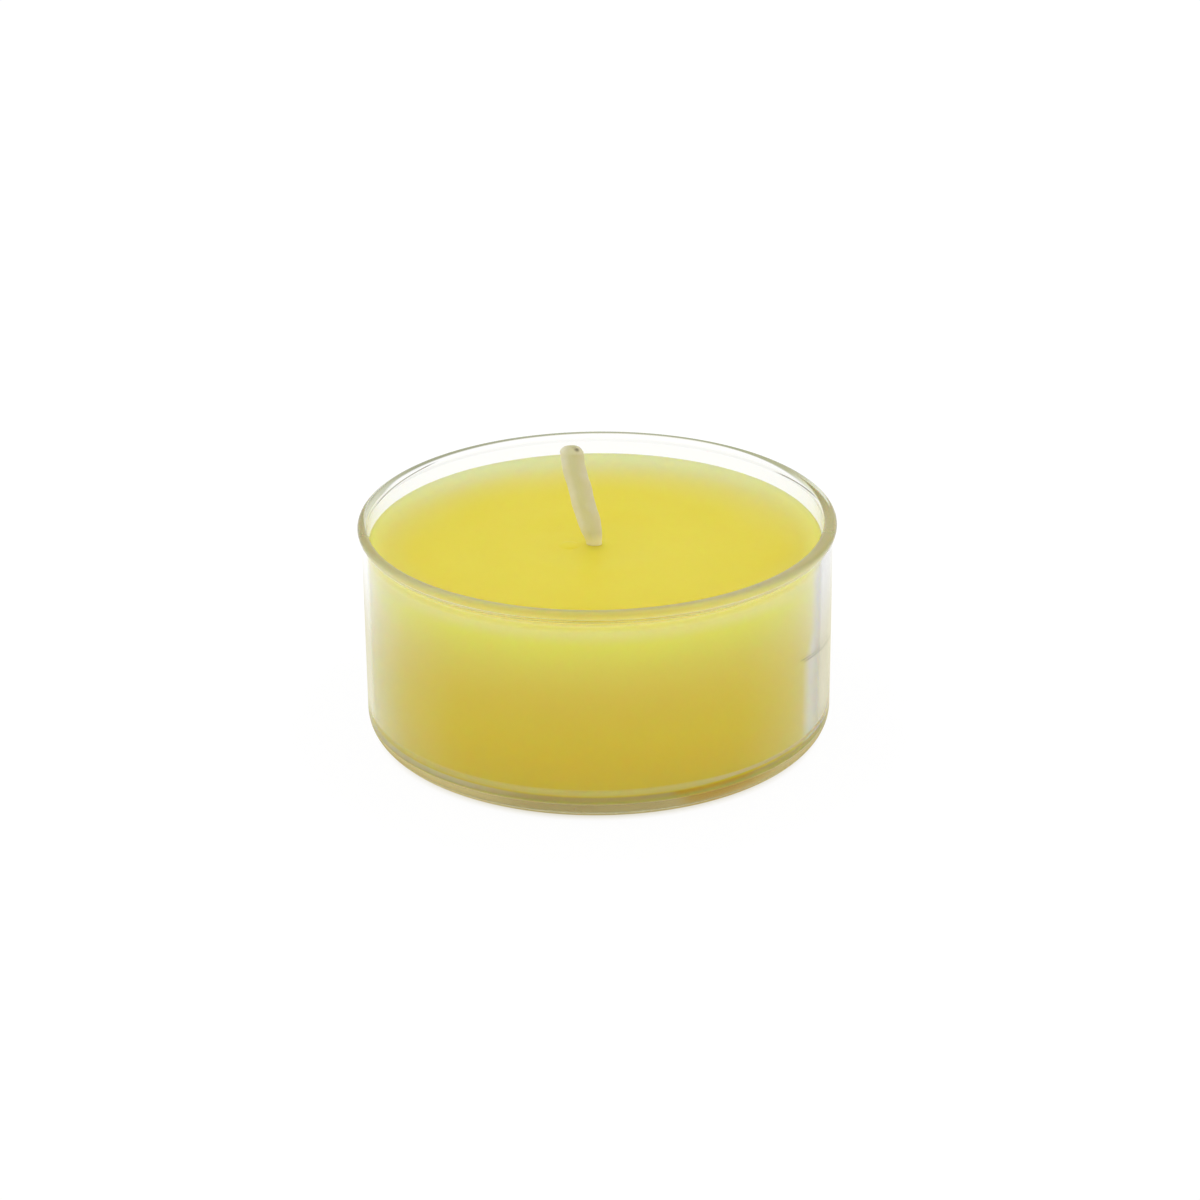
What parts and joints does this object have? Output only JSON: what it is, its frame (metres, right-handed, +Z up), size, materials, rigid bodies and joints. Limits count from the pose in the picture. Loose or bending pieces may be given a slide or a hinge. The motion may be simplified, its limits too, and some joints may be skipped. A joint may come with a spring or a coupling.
{
  "type": "tea light candle",
  "caption": "Short round candle: a clear moulded cup with a rounded lip, filled with yellow wax, with a plaited wick that leans to one side.",
  "frame": {"origin": "centre of the cup's foot, on the surface that it stands on", "axes": "+Z up along the cup's axis, towards its mouth; -Y faces the viewer of the picture, and the wick leans towards -X"},
  "size_m": [0.0382, 0.0382, 0.0243],
  "materials": {
    "cup": "clear moulded polycarbonate, glossy",
    "wax": "yellow poured wax, soft sheen",
    "wick": "waxed cotton plait",
    "wick_sustainer": "tinned steel sheet, bright"
  },
  "bodies": {
    "root": {"cup": "cup", "wax": "wax", "wick": "wick", "wick_sustainer": "wick_sustainer"}
  },
  "joints": []
}
